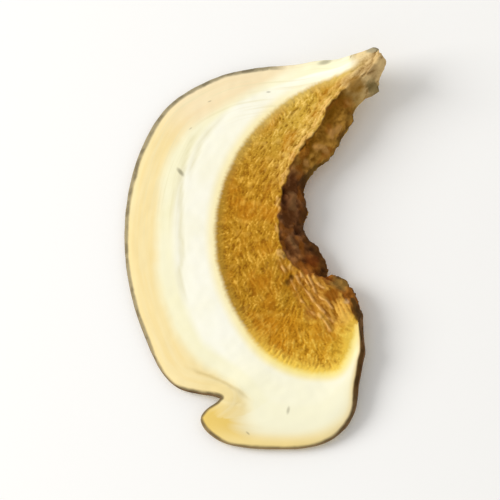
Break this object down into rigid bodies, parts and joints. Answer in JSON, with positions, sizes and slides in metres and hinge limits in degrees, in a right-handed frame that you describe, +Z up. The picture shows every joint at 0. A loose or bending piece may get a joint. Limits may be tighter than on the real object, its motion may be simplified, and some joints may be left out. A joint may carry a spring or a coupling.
{
  "type": "dried bay bolete slice",
  "caption": "Dried crescent slice of a mushroom cap: thin brown skin, pale flesh, a golden tube layer curled up along the inner side, a torn raised tip and a notched rim.",
  "frame": {"origin": "centre of the bounding box, at the height of the surface that the slice lies on", "axes": "+Y along the slice towards its torn tip, +X towards the open side of the crescent, +Z up from the cut face it lies on"},
  "size_m": [0.0362, 0.0578, 0.0083],
  "materials": {
    "dried_flesh": "matte"
  },
  "bodies": {
    "root": {"cap_slice": "dried_flesh"}
  },
  "joints": []
}
